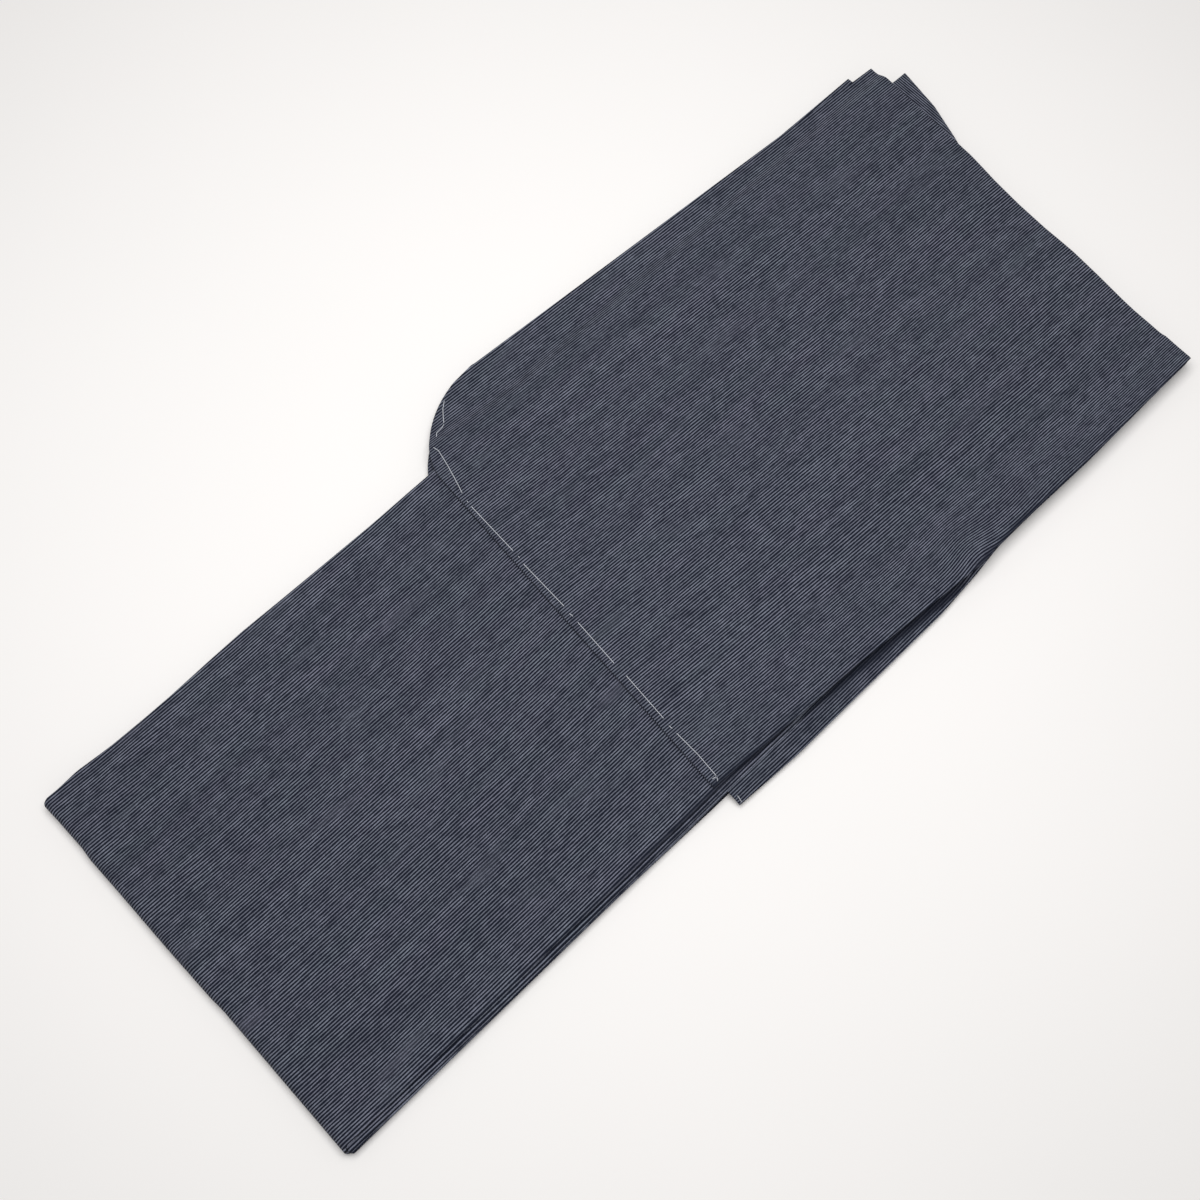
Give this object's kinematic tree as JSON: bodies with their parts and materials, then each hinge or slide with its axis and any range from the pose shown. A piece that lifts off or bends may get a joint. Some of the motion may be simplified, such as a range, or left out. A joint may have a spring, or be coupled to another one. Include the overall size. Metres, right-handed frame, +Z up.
{
  "type": "cotton yukata robe",
  "caption": "Unlined cotton yukata robe folded flat for keeping: body folded lengthwise and once crosswise, one sleeve folded over the top, narrow stripes along its length.",
  "frame": {"origin": "on the surface that the folded robe lies on, under the middle of its footprint", "axes": "+X from the crosswise fold towards the shoulders, +Y from the side seams towards the centre back, +Z up out of the surface"},
  "size_m": [0.8806, 0.3842, 0.0169],
  "materials": {
    "left_back_cotton": "plain-woven navy cotton with fine pale grey-blue stripes, matte",
    "right_back_cotton": "plain-woven navy cotton with fine pale grey-blue stripes, matte",
    "fronts_cotton": "plain-woven navy cotton with fine pale grey-blue stripes, matte",
    "left_sleeve_cotton": "plain-woven navy cotton with fine pale grey-blue stripes, matte",
    "right_sleeve_cotton": "plain-woven navy cotton with fine pale grey-blue stripes, matte",
    "collar_cotton": "plain-woven navy cotton with fine pale grey-blue stripes, matte"
  },
  "bodies": {
    "root": {"left_back": "left_back_cotton", "right_back": "right_back_cotton", "fronts": "fronts_cotton", "left_sleeve": "left_sleeve_cotton", "right_sleeve": "right_sleeve_cotton", "collar": "collar_cotton"}
  },
  "joints": []
}
